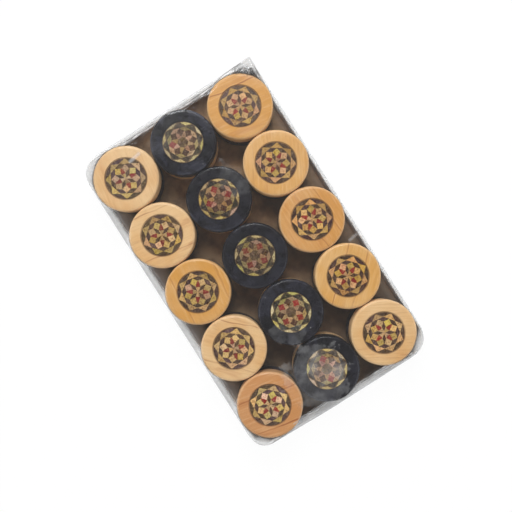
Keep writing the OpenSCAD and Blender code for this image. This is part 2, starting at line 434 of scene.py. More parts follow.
def turned_disc_tree():
    """Turns a section into a disc: a sheet of rows and columns is wrapped round the axis, each
    row at one point of the section. It keeps where each point is in the wood."""
    given = new_tree("turned disc", "Disc", {
        "Section": "Object", "Section points": "Int", "Steps round": "Int", "Centre": "Vector",
        "Grain angle": "Float", "Place in the plank": "Vector", "Wood tone": "Vector",
        "Dark streaks": "Vector", "Finish": "Material"})
    rows = given["Section points"]
    columns = calc("ADD", given["Steps round"], 1)
    sheet = put("GeometryNodeMeshGrid", {
        "Size X": 1.0, "Size Y": 1.0, "Vertices X": columns, "Vertices Y": rows}).outputs["Mesh"]
    position = put("GeometryNodeInputPosition").outputs[0]
    place = split(position)
    row = calc("ROUND", times(calc("ADD", place["Y"], 0.5), calc("SUBTRACT", rows, 1)))
    section = put("GeometryNodeObjectInfo", {"Object": given["Section"]})
    sample = put("GeometryNodeSampleIndex",
                 {"Geometry": section.outputs["Geometry"], "Value": position, "Index": row},
                 data_type="FLOAT_VECTOR", domain="POINT")
    radius, _, height = split(sample.outputs[0])
    around = times(calc("ADD", place["X"], 0.5), 2 * pi)
    wrapped = combined(times(radius, calc("COSINE", around)), times(radius, calc("SINE", around)),
                       height)
    turned = put("GeometryNodeSetPosition", {"Geometry": sheet, "Position": wrapped})
    shape = put("GeometryNodeMergeByDistance",
                {"Geometry": turned.outputs[0], "Distance": MERGE_DISTANCE}).outputs[0]
    back = combined(z=times(given["Grain angle"], -1))
    along = put("ShaderNodeVectorRotate", {"Vector": position, "Rotation": back},
                rotation_type="EULER_XYZ")
    x, y, z = split(position)
    from_axis = vector("LENGTH", combined(x, y), output="Value")
    for name, value in (
        ("in_disc", along.outputs[0]), ("turned_at", combined(from_axis, z)),
        ("plank", given["Place in the plank"]), ("wood_tone", given["Wood tone"]),
        ("dark_streaks", given["Dark streaks"]),
    ):
        shape = put("GeometryNodeStoreNamedAttribute",
                    {"Geometry": shape, "Name": name, "Value": value},
                    data_type="FLOAT_VECTOR", domain="POINT").outputs[0]
    moved = put("GeometryNodeTransform", {"Geometry": shape, "Translation": given["Centre"]})
    real = put("GeometryNodeRealizeInstances", {0: moved.outputs[0]})
    return dressed(real.outputs[0], given["Finish"])


def grown(name, tree_steps, start_mesh=None):
    """Runs geometry trees one after the other on a new object and keeps the plain mesh."""
    made = placed(name, start_mesh or bpy.data.meshes.new(name))
    for group, values in tree_steps:
        step = made.modifiers.new(group.name, "NODES")
        step.node_group = group
        for socket in group.interface.items_tree:
            if socket.item_type == "SOCKET" and socket.in_out == "INPUT" and socket.name in values:
                step[socket.identifier] = values[socket.name]
    graph = bpy.context.evaluated_depsgraph_get()
    mesh = bpy.data.meshes.new_from_object(made.evaluated_get(graph))
    mesh.name = name
    made.modifiers.clear()
    made.data = mesh
    return made


def in_the_wood():
    """Where a point is: in its disc along the grain, in the plank, from the axis, and how high."""
    in_disc = carried("in_disc", "Vector")
    wood = vector("ADD", in_disc, carried("plank", "Vector"))
    radius, height, _ = split(carried("turned_at", "Vector"))
    return in_disc, wood, radius, height


def stretched(place, along, across, *looks):
    """A pattern drawn out along the grain."""
    return pattern(vector("MULTIPLY", place, (along, across, across)), 1.0, *looks)


def apart(first, second):
    return calc("ABSOLUTE", calc("SUBTRACT", first, second))


def varnished_light_wood():
    """Pale straight-grained wood, redder and darker from disc to disc, under clear varnish."""
    finish = new_finish("varnished light wood")
    in_disc, wood, radius, height = in_the_wood()
    golden, redness, figure = split(carried("wood_tone", "Vector"))
    first_streak, second_streak, strong = split(carried("dark_streaks", "Vector"))
    broad = stretched(wood, 26.0, 240.0, 3.0, 0.5, 0.5)
    fibre = stretched(wood, 90.0, 1500.0, 5.0, 0.6, 0.2)
    pores = stretched(wood, 420.0, 5200.0)
    sway = stretched(wood, 70.0, 70.0)
    cloud = pattern(wood, 75.0)
    dents = pattern(wood, 260.0, 4.0)
    colour = tint(between(cloud, 0.35, 0.68), srgb(227, 190, 142), srgb(219, 174, 121))
    gold_share = times(golden, between(cloud, 0.3, 0.7, 0.8, 1.15))
    colour = tint(gold_share, colour, srgb(209, 150, 56))
    redder = times(between(broad, 0.5, 0.72), 0.14)
    red_share = calc("ADD", redness, redder, clamp=True)
    colour = tint(red_share, colour, srgb(187, 116, 64))
    lines = times(between(broad, 0.60, 0.66), between(broad, 0.76, 0.66), figure, 0.35)
    colour = tint(lines, colour, srgb(170, 104, 56))
    colour = washed(colour, (fibre, 0.50, 0.72, 0.0, 0.30, (178, 128, 82)),
                    (fibre, 0.50, 0.28, 0.0, 0.25, (238, 208, 164)),
                    (pores, 0.66, 0.74, 0.0, 0.30, (120, 78, 48)))
    swayed = times(calc("SUBTRACT", sway, 0.5), 3.2 * MM)
    across = calc("ADD", split(in_disc)["Y"], swayed)
    for streak, strength in ((first_streak, 0.9), (second_streak, 0.75)):
        line = between(apart(across, streak), 0.08 * MM, 0.40 * MM, strength, 0.0)
        line = times(line, strong, between(cloud, 0.30, 0.55, 0.35, 1.0))
        colour = tint(line, colour, srgb(148, 80, 42))
    # Paler on the rounded rim: painted light that offsets the shade on the edge.
    colour = washed(colour, (radius, 13.9 * MM, 14.8 * MM, 0.0, 0.35, (240, 204, 158)))
    # Darker brown in and round the groove: a dark line, and painted shade in the recess.
    groove_line_and_shade = between(apart(radius, 9.5 * MM), 0.12 * MM, 0.42 * MM, 1.0, 0.0)
    groove_line_and_shade = times(groove_line_and_shade, between(cloud, 0.35, 0.62, 0.25, 0.7),
                      between(height, 7.5 * MM, 8.0 * MM))
    colour = tint(groove_line_and_shade, colour, srgb(96, 62, 36))
    relief = calc("ADD", times(fibre, 0.5), times(dents, 0.5))
    rough = between(dents, 0.35, 0.7, 0.28, 0.46)
    return shelled(finish, colour, rough, 0.4, relief, 0.25, 0.10 * MM)


def stained_dark_wood():
    """The same wood under a blue-black stain: bluish rubbed patches, grey scuffs and dust."""
    finish = new_finish("stained dark wood")
    _, wood, radius, _ = in_the_wood()
    scuffed, worn, _ = split(carried("wood_tone", "Vector"))
    fibre = stretched(wood, 80.0, 1300.0, 5.0, 0.6)
    scrape = stretched(wood, 2600.0, 210.0, 4.0, 0.7, 0.3)
    cloud = pattern(wood, 140.0, 4.0, 0.6)
    blot = pattern(wood, 95.0, 6.0, 0.62, 0.6)
    dents = pattern(wood, 240.0, 4.0)
    dust = put("ShaderNodeTexVoronoi", {"Vector": wood, "Scale": 330.0}).outputs["Distance"]
    colour = tint(between(cloud, 0.35, 0.7), srgb(19, 17, 21), srgb(30, 27, 34))
    colour = washed(colour, (fibre, 0.45, 0.75, 0.0, 0.5, (14, 14, 17)))
    rubbed = times(between(blot, 0.49, 0.56), scuffed, 0.55)
    scuff = times(between(scrape, 0.52, 0.80), between(cloud, 0.42, 0.62), scuffed)
    edge = times(between(radius, 13.4 * MM, 14.6 * MM), between(blot, 0.44, 0.56, 0.0, 0.55), worn)
    speck = times(between(dust, 0.05, 0.09, 1.0, 0.0), between(cloud, 0.56, 0.6), scuffed)
    for share, wear in ((rubbed, srgb(55, 55, 68)), (scuff, srgb(98, 99, 110)),
                        (edge, srgb(88, 90, 102)), (speck, srgb(205, 200, 196))):
        colour = tint(share, colour, wear)
    relief = calc("ADD", times(fibre, 0.4), times(dents, 0.6))
    rough = between(dents, 0.35, 0.7, 0.26, 0.42)
    return shelled(finish, colour, rough, 0.22, relief, 0.3, 0.12 * MM)


wood_finish = {"light": varnished_light_wood(), "dark": stained_dark_wood()}
section, section_points = disc_section()
disc_tree = turned_disc_tree()

# Light discs of the upper layer: grain angle, how golden, how red, figure, then where two dark
# streaks run across the disc, in millimetres from its middle, and how strong they are.
LIGHT_UPPER = [
    (80, 0.00, 0.00, 0.2, 11.0, -9.0, 0.05),
    (-9, 0.13, 0.00, 0.6, 11.5, -8.6, 0.70),
    (85, 0.76, 0.14, 0.8, 8.0, -12.0, 0.45),
    (-46, 0.12, 0.00, 0.5, 11.5, -8.0, 0.60),
    (-12, 0.34, 0.62, 0.9, -10.5, 5.0, 1.00),
    (-8, 0.72, 0.19, 0.5, 9.1, -16.0, 0.9),
    (60, 0.55, 0.07, 0.4, 10.5, -11.0, 0.20),
    (90, 0.69, 0.31, 0.3, 0.4, -8.5, 0.55),
    (43, 0.62, 0.00, 0.4, 3.1, -6.0, 0.65),
    (-30, 0.18, 0.02, 0.7, 12.5, -11.5, 0.30),
]
# Dark discs of the upper layer: grain angle, scuffs, wear of the edge. The rest doesn't show.
DARK_UPPER = [(82, 0.8, 0.7), (70, 0.5, 0.4), (15, 0.35, 0.1), (50, 0.6, 0.15), (35, 0.4, 0.2)]
UNSEEN = (0.0,) * 4

chance = random.Random(11)
for kind, upper in (("light", LIGHT_UPPER), ("dark", DARK_UPPER)):
    for number in range(1, DISCS_OF_A_KIND + 1):
        node = f"{kind}_checker_{number:02d}"
        low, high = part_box(node)
        plank = tuple(chance.uniform(-0.5, 0.5) for _ in range(3))
        if number <= len(upper):
            look = upper[number - 1]
        elif kind == "light":
            look = (chance.uniform(-90, 90), chance.uniform(0, 0.1), chance.uniform(0, 0.02), 0.5,
                    chance.uniform(-13, 13), chance.uniform(-13, 13), chance.uniform(0, 0.7))
        else:
            look = (chance.uniform(-90, 90), 0.6, 0.4)
        if kind == "dark":
            look += UNSEEN
        disc = grown(f"{kind}_disc_{number:02d}", [(disc_tree, {
            "Section": section, "Section points": section_points, "Steps round": ROUND_STEPS,
            "Centre": ((low.x + high.x) / 2, (low.y + high.y) / 2, low.z),
            "Grain angle": radians(look[0]), "Place in the plank": plank,
            "Wood tone": look[1:4], "Dark streaks": (look[4] * MM, look[5] * MM, look[6]),
            "Finish": wood_finish[kind],
        })])
        smoothed(disc.data)
        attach(disc, node + "_piece")
        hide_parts(node)
bpy.data.objects.remove(section)


# Mosaic slices.
# Each is a thin slice cut from a rod glued up of coloured sticks: an eight-pointed star, eight
# squares, eight rhombi, then arrow heads and edge pieces out to the rim, lacquered over.
SLICE_RADIUS, SLICE_STEPS = 9.3 * MM, 64
SLICE_SUNK, SLICE_THICKNESS = 0.1 * MM, 0.8 * MM
STICK = SLICE_RADIUS / 3.38
TILE_RISE, TILE_DEPTH = 0.05 * MM, 0.12 * MM
GLUE_LINE, OVERLAP = 0.03 * MM, 0.02 * MM
OFF_COLOUR, STRAYS = 0.24, 0.12
SEED_STEP, DARK_SEED = 17, 500
# Half the angle of one tile of eight, and the radii where the rings of tiles meet.
HALF = 22.5
STAR_TIP, SQUARE_TIP, RHOMBUS_TIP = 1.848 * STICK, 2.414 * STICK, 2.613 * STICK
RIM = SLICE_RADIUS - 0.12 * MM
LEAF_RIM = RIM - 0.06 * MM


def at(radius, angle):
    turn = radians(angle)
    return Vector((radius * cos(turn), radius * sin(turn)))


def drawn_in(points, gap):
    """A convex outline with every side moved in by the same gap."""
    shrunk = []
    for i, here in enumerate(points):
        first = (here - points[i - 1]).normalized()
        second = (points[(i + 1) % len(points)] - here).normalized()
        n1, n2 = Vector((-first.y, first.x)), Vector((-second.y, second.x))
        middle = (n1 + n2).normalized()
        shrunk.append(here + middle * (gap / max(middle.dot(n1), 0.35)))
    return shrunk


def tile_blank(name, corners, gap, lift):
    """One tile as a closed prism, at the middle of the slice and pointing along X."""
    outline = drawn_in([at(*corner) for corner in corners], gap)
    layers = [[(p.x, p.y, z) for p in outline] for z in (lift - TILE_DEPTH, lift)]
    return placed(name, skin(name, layers))


# Each tile's gap and lift, then its corners as radius and angle.
TILES = {name: tile_blank(name + " tile", corners, gap, lift) for name, gap, lift, corners in (
    ("star", GLUE_LINE, 0.0, [(0, 0), (STICK, -HALF), (STAR_TIP, 0), (STICK, HALF)]),
    ("petal", GLUE_LINE, OVERLAP,
     [(0.16 * STICK, 0), (STICK, -19), (1.82 * STICK, 0), (STICK, 19)]),
    ("core", GLUE_LINE, 0.0, [(0, 0), (0.86 * STICK, -HALF), (0.86 * STICK, HALF)]),
    ("tip", GLUE_LINE, OVERLAP,
     [(0.88 * STICK, -HALF), (STICK, -HALF), (1.48 * STICK, -10.5), (1.98 * STICK, 0),
      (1.48 * STICK, 10.5), (STICK, HALF), (0.88 * STICK, HALF)]),
    ("square", 0.07 * MM, 0.0,
     [(STICK, 0), (STAR_TIP, -HALF), (SQUARE_TIP, 0), (STAR_TIP, HALF)]),
    ("rhombus", GLUE_LINE, 0.0,
     [(STAR_TIP, 0), (SQUARE_TIP, -HALF), (RHOMBUS_TIP, 0), (SQUARE_TIP, HALF)]),
    ("arrow", GLUE_LINE, 0.0,
     [(RHOMBUS_TIP, -HALF), (2.78 * STICK, -HALF), (RIM, 0), (2.78 * STICK, HALF),
      (RHOMBUS_TIP, HALF)]),
    ("wedge", GLUE_LINE, 0.0, [(RHOMBUS_TIP, -HALF), (RIM, 0), (RHOMBUS_TIP, HALF)]),
    ("edge", GLUE_LINE, OVERLAP,
     [(2.93 * STICK, 13), (2.64 * STICK, 0), (2.93 * STICK, -13)]
     + [(RIM, angle) for angle in (-21, -14, -7, 0, 7, 14, 21)]),
    ("leaf", 0.05 * MM, 0.0,
     [(2.80 * STICK, 0)] + [(LEAF_RIM, angle) for angle in (-17.5, -12, -6, 0, 6, 12, 17.5)]),
)}


def tile_ring_tree():
    """Adds a ring of like tiles to a slice, in two colours by turns but for some strays, each tile
    a little off colour."""
    given = new_tree("ring of tiles", "Slice", {
        "Slice": "Geometry", "Tile": "Object", "Copies": "Int", "Start angle": "Float",
        "Centre": "Vector", "First colour": "Color", "Second colour": "Color",
        "Off colour": "Float", "Strays": "Float", "Seed": "Int", "Finish": "Material"})
    spots = put("GeometryNodePoints", {"Count": given["Copies"]})
    number = put("GeometryNodeInputIndex").outputs[0]
    turn = calc("DIVIDE", times(number, 2 * pi), given["Copies"])
    turn = calc("ADD", turn, given["Start angle"])
    tile = put("GeometryNodeObjectInfo", {"Object": given["Tile"]})
    ring = put("GeometryNodeInstanceOnPoints",
               {"Points": spots.outputs[0], "Instance": tile.outputs["Geometry"],
                "Rotation": combined(z=turn)})
    other_seed = calc("ADD", given["Seed"], 7)
    luck = put("FunctionNodeRandomValue", {"Seed": other_seed}, data_type="FLOAT")
    stray = calc("LESS_THAN", luck.outputs[1], given["Strays"])
    pick = calc("MAXIMUM", calc("MODULO", number, 2), stray)
    colour = tint(pick, given["First colour"], given["Second colour"])
    luck = put("FunctionNodeRandomValue",
               {0: (0, 0, 0), 1: (1, 1, 1), "Seed": given["Seed"]}, data_type="FLOAT_VECTOR")
    common, greener, bluer = (
        put("ShaderNodeMapRange", {0: value, 3: low, 4: high}).outputs[0]
        for value, low, high in zip(
            split(luck.outputs[0]),
            (calc("SUBTRACT", 1, given["Off colour"]), 0.92, 0.64),
            (calc("ADD", 1, given["Off colour"]), 1.07, 1.24)))
    channels = combined(common, times(common, greener), times(common, bluer))
    marked = put("GeometryNodeStoreNamedAttribute",
                 {"Geometry": ring.outputs[0], "Name": "tile_colour",
                  "Value": vector("MULTIPLY", colour, channels)},
                 data_type="FLOAT_COLOR", domain="INSTANCE")
    real = put("GeometryNodeRealizeInstances", {0: marked.outputs[0]})
    moved = put("GeometryNodeTransform",
                {"Geometry": real.outputs[0], "Translation": given["Centre"]})
    joined = put("GeometryNodeJoinGeometry")
    tree.links.new(moved.outputs[0], joined.inputs[0])
    tree.links.new(given["Slice"], joined.inputs[0])
    return dressed(joined.outputs[0], given["Finish"])


def lacquered_mosaic(name):
    """Coloured sticks cut across the grain, with end-grain pores, a worn lacquer on top."""
    finish = new_finish(name)
    colour = carried("tile_colour", "Color")
    spot = put("ShaderNodeTexCoord").outputs["Object"]
    pores = pattern(spot, 3800.0, 3.0)
    smear = pattern(spot, 420.0, 4.0, 0.6)
    blotch = pattern(spot, 1250.0, 3.0, 0.6)
    darker = between(blotch, 0.50, 0.66, 0.0, 0.9)
    colour = tint(darker, colour, srgb(178, 158, 140), "MULTIPLY")
    colour = washed(colour, (blotch, 0.46, 0.32, 0.0, 0.22, (214, 184, 134)))
    in_pores = between(pores, 0.5, 0.72, 0.0, 0.9)
    colour = tint(in_pores, colour, srgb(158, 138, 120), "MULTIPLY")
    colour = washed(colour, (smear, 0.50, 0.78, 0.0, 0.22, (166, 134, 100)))
    rough = between(smear, 0.3, 0.7, 0.25, 0.45)
    return shelled(finish, colour, rough, 0.4, smear, 0.2, 0.08 * MM)


def slice_blank(name, centre, low_z, high_z, colour):
    """The round backing of a slice; its face shows between the tiles as glue lines."""
    angles = [2 * pi * i / SLICE_STEPS for i in range(SLICE_STEPS)]
    mesh = skin(name, [[(centre.x + SLICE_RADIUS * cos(a),
                         centre.y + SLICE_RADIUS * sin(a), z) for a in angles]
                       for z in (low_z, high_z - TILE_RISE)])
    paint = mesh.attributes.new("tile_colour", "FLOAT_COLOR", "POINT")
    paint.data.foreach_set("color", list(colour) * len(mesh.vertices))
    return mesh


CREAM, YELLOW, HONEY = (228, 188, 132), (212, 182, 98), (208, 170, 120)
SAND, STRAW = (218, 176, 122), (210, 174, 104)
RED, UMBER, BARK = (150, 28, 24), (70, 36, 18), (66, 42, 28)
WALNUT, PLUM = (70, 48, 30), (72, 44, 48)
EARTH, ROSE, FAWN = (100, 76, 50), (186, 142, 114), (160, 128, 90)
WORN_RED, MAROON = (146, 42, 34), (78, 46, 34)
OAT, MOSS = (176, 146, 106), (152, 136, 84)
SOOT, SEDGE = (38, 35, 31), (43, 40, 27)
PALE, LEMON = (210, 192, 150), (200, 186, 118)
FADED_BROWN = (150, 122, 96)
GROUND = {"light": (106, 74, 40), "dark": (92, 72, 46)}
# Angle of the red tiles in the upper layer, in degrees.
LIGHT_TURNS = [84, 63, 57, 73, 22, 19, 32, 41, 20, 15]
DARK_TURNS = [72, 84.5, 31, 30, 79]
# Which of the four red squares of each dark disc are another colour, counted from that angle.
LOST_REDS = [(0, 2, 3), (2,), (), (), (1, 3)]
# How far a slice has faded towards one brown, and how its stain dims red, green and blue.
FADED = {
    "light": [0.20, 0.17, 0.14, 0.16, 0.12, 0.20, 0.13, 0.06, 0.06, 0.10],
    "dark": [0.12, 0.02, 0.12, 0.02, 0.12],
}
STAIN = {
    "light": [(0.87, 0.91, 1.02), (0.91, 0.89, 0.79), (0.83, 0.78, 0.77), (1.00, 0.99, 1.05),
              (1.08, 1.12, 1.24), (0.87, 0.77, 0.70), (0.83, 0.73, 0.64), (0.93, 0.81, 0.68),
              (0.87, 0.74, 0.59), (0.99, 0.95, 0.94)],
    "dark": [(0.95, 0.94, 0.91), (0.85, 0.72, 0.66), (0.70, 0.68, 0.66), (1.02, 1.04, 1.00),
             (1.00, 0.95, 0.90)],
}
LOWER_AGE = (0.1, (1, 1, 1))


def aged(colour, fade, stain):
    """A colour of a new slice as it is now, faded towards brown and stained."""
    fresh, brown = srgb(*colour), srgb(*FADED_BROWN)
    return (*(stain[i] * (fresh[i] + (brown[i] - fresh[i]) * fade) for i in range(3)), 1.0)


ring_tree = tile_ring_tree()
mosaic_finish = {kind: lacquered_mosaic(f"mosaic of the {kind} discs")
                 for kind in ("light", "dark")}

for kind, turns in (("light", LIGHT_TURNS), ("dark", DARK_TURNS)):
    for number in range(1, DISCS_OF_A_KIND + 1):
        upper = number <= len(turns)
        node = f"{kind}_checker_{number:02d}"
        low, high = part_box(node)
        centre = (low + high) / 2
        top = high.z - SLICE_SUNK
        turn = turns[number - 1] if upper else chance.uniform(0, 90)
        # Kind of tile, how many, angle of the first, and two colours.
        if kind == "light":
            rings = [
                ("core", 4, turn, HONEY, HONEY), ("tip", 4, turn, RED, RED),
                ("star", 4, turn + 45, CREAM, CREAM), ("petal", 4, turn + 45, UMBER, BARK),
                ("square", 8, turn + HALF, YELLOW, CREAM), ("rhombus", 8, turn, WALNUT, PLUM),
                ("arrow", 8, turn + HALF, SAND, STRAW), ("edge", 8, turn, PLUM, WALNUT),
            ]
        else:
            rings = [
                ("core", 8, turn + HALF, EARTH, EARTH), ("tip", 8, turn + HALF, ROSE, FAWN),
                ("square", 4, turn + 45, MAROON, UMBER), ("rhombus", 8, turn + HALF, OAT, MOSS),
                ("wedge", 8, turn, SOOT, SEDGE), ("leaf", 8, turn + HALF, PALE, LEMON),
            ]
            lost = LOST_REDS[number - 1] if upper else ()
            rings += [("square", 1, turn + 90 * k, MAROON if k in lost else WORN_RED, WORN_RED)
                      for k in range(4)]
        age = (FADED[kind][number - 1], STAIN[kind][number - 1]) if upper else LOWER_AGE
        first_seed = number * SEED_STEP + (DARK_SEED if kind == "dark" else 0)
        name = f"{kind}_slice_{number:02d}"
        steps = [(ring_tree, {
            "Tile": TILES[tile], "Copies": copies, "Start angle": radians(start),
            "Centre": (centre.x, centre.y, top),
            "First colour": aged(first, *age), "Second colour": aged(second, *age),
            "Off colour": OFF_COLOUR, "Strays": STRAYS if copies > 1 else 0.0,
            "Seed": first_seed + place, "Finish": mosaic_finish[kind],
        }) for place, (tile, copies, start, first, second) in enumerate(rings)]
        blank = slice_blank(name, centre, top - SLICE_THICKNESS, top, aged(GROUND[kind], *age))
        made = grown(name, steps, blank)
        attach(made, node + "_piece")
        if upper:
            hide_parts(f"{kind}_inlay_{number:02d}")
for blank in TILES.values():
    bpy.data.objects.remove(blank)


# Clear film.
# Thin shrink film in two plies: a flat one under the tray and an upper one drawn over the discs
# and the tray's rim down to the seal round the foot. It is creased along its edges and corners.
FILM_THICKNESS = 0.06 * MM
PITCH_X, PITCH_Y = 30.5 * MM, 30.3 * MM
CENTRES = [(i * PITCH_X, j * PITCH_Y) for i in (-1, 0, 1) for j in (-2, -1, 0, 1, 2)]
# Milky patches on top, in millimetres: centre, half sizes and strength.
PATCHES = [((-5, -61), (17, 18), 0.05), ((-1, -60), (9, 9), 0.085), ((-10, -36), (5, 5), 0.03),
           ((-3.5, -40), (6.5, 4.5), 0.035), ((11.3, -33.4), (3.2, 3.6), 0.012),
           ((10, 34), (7, 11), 0.03), ((-4, 68), (14, 9), 0.02)]
# Painted glints, bright streaks that stand in for light caught on the film, in millimetres: two
# ends, width and strength.
PAINTED_GLINTS = [((-24.6, 66.0), (-19.6, 66.9), 1.4, 0.2), ((40.0, -17.0), (43.8, -16.4), 1.3, 0.12),
           ((-18.0, -73.6), (-13.2, -74.9), 0.35, 0.6), ((-26.0, -73.4), (-20.0, -73.0), 0.25, 0.4)]
# Lines painted along the film's creases: place in its section, width, sway, and how white. The
# white ones are painted glints; the one that isn't white is a dark line of painted shade between
# two white ones.
PAINTED_CREASE_LINES = [(0.115, 0.055, 0.04, 1.0), (0.178, 0.03, 0.04, 0.0), (0.24, 0.055, 0.04, 1.0),
           (0.62, 0.08, 0.6, 0.3)]


def from_point(spot, point):
    return vector("ADD", spot, (-point[0] * MM, -point[1] * MM, 0))


def milky_patch(spot, ragged, centre, half, strength):
    """A patch with ragged edges, by its distance from a point and a noise."""
    scaled = vector("MULTIPLY", from_point(spot, centre), (1000 / half[0], 1000 / half[1], 0))
    distance = vector("LENGTH", scaled, output="Value")
    level = calc("SUBTRACT", times(ragged, 1.7), distance)
    mottled = between(ragged, 0.42, 0.66, 0.55, 1.35)
    return times(mottled, strength, between(level, 0.0, 0.05))


def painted_glint(spot, start, end, width, strength):
    """A painted glint: a thin bright streak along a straight line between two points."""
    run = Vector(end) - Vector(start)
    flat = vector("MULTIPLY", from_point(spot, start), (1, 1, 0))
    part = vector("DOT_PRODUCT", flat, (run.x, run.y, 0), "Value")
    part = calc("DIVIDE", part, run.length_squared * MM, clamp=True)
    there = put("ShaderNodeVectorMath", {0: (run.x * MM, run.y * MM, 0), 3: part},
                operation="SCALE").outputs[0]
    gap = vector("DISTANCE", flat, there, "Value")
    return between(gap, 0.0, width * MM, strength, 0.0)


def shrink_film():
    """Clear film: the more it faces away the more it shines; creases and scuffs are milk-white.
    White crease, fold and streak lines are painted glints; dark lines and folds are painted shade.
    """
    finish = new_finish("clear shrink film")
    spot = put("ShaderNodeTexCoord").outputs["Object"]
    milk, creased, section, smoky = map(carried, ("milk", "creased", "section", "smoky"))
    upright = vector("MULTIPLY", spot, (1, 1, 0.12))
    ripple = pattern(upright, 160.0, 3.0)
    fine = pattern(upright, 900.0, 3.0)
    fold = pattern(upright, 420.0, 3.0, distortion=0.8)
    ragged = pattern(spot, 150.0, 7.0, 0.68)
    shares = [times(milk, between(fine, 0.3, 0.7, 0.88, 1.06))]
    # White crease lines are painted glints; the dark one is painted shade.
    for level, width, sway, white in PAINTED_CREASE_LINES:
        swayed = times(calc("SUBTRACT", ripple, 0.5), sway)
        gap = apart(calc("ADD", section, swayed), level)
        line = times(between(gap, width * 0.45, width, 1.0, 0.0), creased)
        if white:
            broken = between(ragged, 0.42, 0.58, 0.35 * white, white)
            shares.append(times(line, broken))
        else:
            painted_dark_line = times(line, 0.8)
    crumpled = times(creased, between(section, 0.3, 0.6, 1.0, 0.12))
    # Bright lines along the folds of the crumple: painted glints.
    fold_glint = between(apart(fold, 0.5), 0.0, 0.02, 0.7, 0.0)
    shares.append(times(fold_glint, crumpled))
    shares += [milky_patch(spot, ragged, *patch) for patch in PATCHES]
    shares += [painted_glint(spot, *streak) for streak in PAINTED_GLINTS]
    share = shares[0]
    for other in shares[1:]:
        share = calc("MAXIMUM", share, other)
    relief = calc("ADD", ripple, times(fine, 0.2))
    normal = bumped(relief, 0.4, 0.25 * MM)
    in_folds = between(fold, 0.38, 0.56, 0.25, 1.0)
    # Painted shade: the dark folds at the ear and the dark crease line darken what shows through
    # the film.
    painted_darkening = calc("MULTIPLY", smoky, in_folds, clamp=True)
    painted_darkening = calc("MAXIMUM", painted_darkening, painted_dark_line)
    see_through = tint(painted_darkening, (0.960, 0.965, 0.967, 1), (0.22, 0.21, 0.20, 1))
    clear = put("ShaderNodeBsdfTransparent", {"Color": see_through})
    gloss = put("ShaderNodeBsdfGlossy",
                {"Color": (0.95, 0.97, 1.0, 1), "Roughness": 0.12, "Normal": normal})
    facing = put("ShaderNodeLayerWeight", {"Blend": 0.5, "Normal": normal}).outputs["Facing"]
    edge_on = calc("ADD", times(calc("POWER", facing, 4.0), 0.42), 0.01)
    milk_and_painted_glints = put("ShaderNodeBsdfPrincipled",
                {"Base Color": srgb(234, 234, 234), "Roughness": 0.35, "Specular IOR Level": 0.5})
    sheet = mixed(edge_on, clear.outputs[0], gloss.outputs[0])
    out(mixed(share, sheet, milk_and_painted_glints.outputs[0]))
    return finish


film_finish = shrink_film()
under_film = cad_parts["film_lower"]
under_film.data.materials.clear()
under_film.data.materials.append(film_finish)

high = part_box("film_upper")[1]
foot_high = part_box("film_lower")[1]
disc_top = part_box("light_checker_01")[1].z
HOOD_X, HOOD_Y, HOOD_TOP = 45.78 * MM, 76.05 * MM, high.z - 0.02 * MM
WALL_X, WALL_Y, WALL_TOP = high.x - 0.06 * MM, high.y - 0.06 * MM, 9.45 * MM
WALL_LEAN = 0.6 / 9
FOOT_X, FOOT_Y = foot_high.x - 0.02 * MM, foot_high.y - 0.02 * MM
FOOT_TOP = 0.3 * MM
HOOD_RADII = [1.2 * MM, 8.0 * MM, 7.5 * MM, 8.0 * MM]
RIM_RADIUS, FOOT_RADIUS = 10.7 * MM, 10.4 * MM
OUTLINE_STEPS = ((76, 126), 10)
TOP_STEPS, TOP_INSET = 30, 5.4 * MM
HOOD_ROUND, HOOD_FOOT = 1.1 * MM, 18.0 * MM
# How deep the film is drawn in between the discs: left and right side, and both halves of the
# front and the back.
HOLLOW_SIDES = {-1: 2.6 * MM, 1: 0.8 * MM}
HOLLOW_ENDS = {(1, -1): 0.7 * MM, (1, 1): 0.8 * MM, (-1, -1): 2.0 * MM, (-1, 1): 1.2 * MM}
DISC_AND_GAP = 15.35 * MM
ABOVE_DISCS = 0.1 * MM
BUCKLE = 0.08 * MM


def room_beside(value, pitch, centre, side):
    """How far the film may be drawn in at this place: up to the nearest disc of the outer row."""
    off = value - pitch * round(value / pitch)
    return max(side - centre - sqrt(max(DISC_AND_GAP ** 2 - off * off, 0.0)), 0.0)


def from_discs(x, y):
    return min(hypot(x - cx, y - cy) for cx, cy in CENTRES)


def film_rings():
    """The film's section, from the middle of the top out to the seal: inset from the hood's
    side, height, share of the way from the hood's outline to the wall's, depth of the hollows
    between the discs, and place in the section (0 on top, 1 at the tray's rim, 2 below it)."""
    rings = [(HOOD_X - (HOOD_X - TOP_INSET) * step / TOP_STEPS, HOOD_TOP, 0.0, 0.0, 0.0)
             for step in range(TOP_STEPS + 1)]
    for inset, depth in ((4.6, 0.06), (3.8, 0.2), (3.0, 0.4), (2.2, 0.62), (1.6, 0.78), (1.1, 0.9)):
        rings.append((inset * MM, HOOD_TOP, 0.0, depth, 0.1 * depth))
    for angle in (15, 30, 45, 60, 75):
        turn = radians(angle)
        inset, drop = HOOD_ROUND * (1 - sin(turn)), HOOD_ROUND * (1 - cos(turn))
        rings.append((inset, HOOD_TOP - drop, 0.0, 1.0, 0.1 + 0.2 * angle / 90))
    for share in (0.0, 0.12, 0.25, 0.38, 0.5, 0.62, 0.75, 0.88, 1.0):
        rings.append((0.0, HOOD_FOOT + (WALL_TOP - HOOD_FOOT) * share, share, 1.0 - share,
                      0.3 + 0.7 * share))
    for height in (9.1, 8.0, 6.5, 5.0, 3.5, 2.0, 0.8, 0.42):
        rings.append((WALL_LEAN * (WALL_TOP - height * MM), height * MM, 1.0, 0.0, 2.0))
    return rings


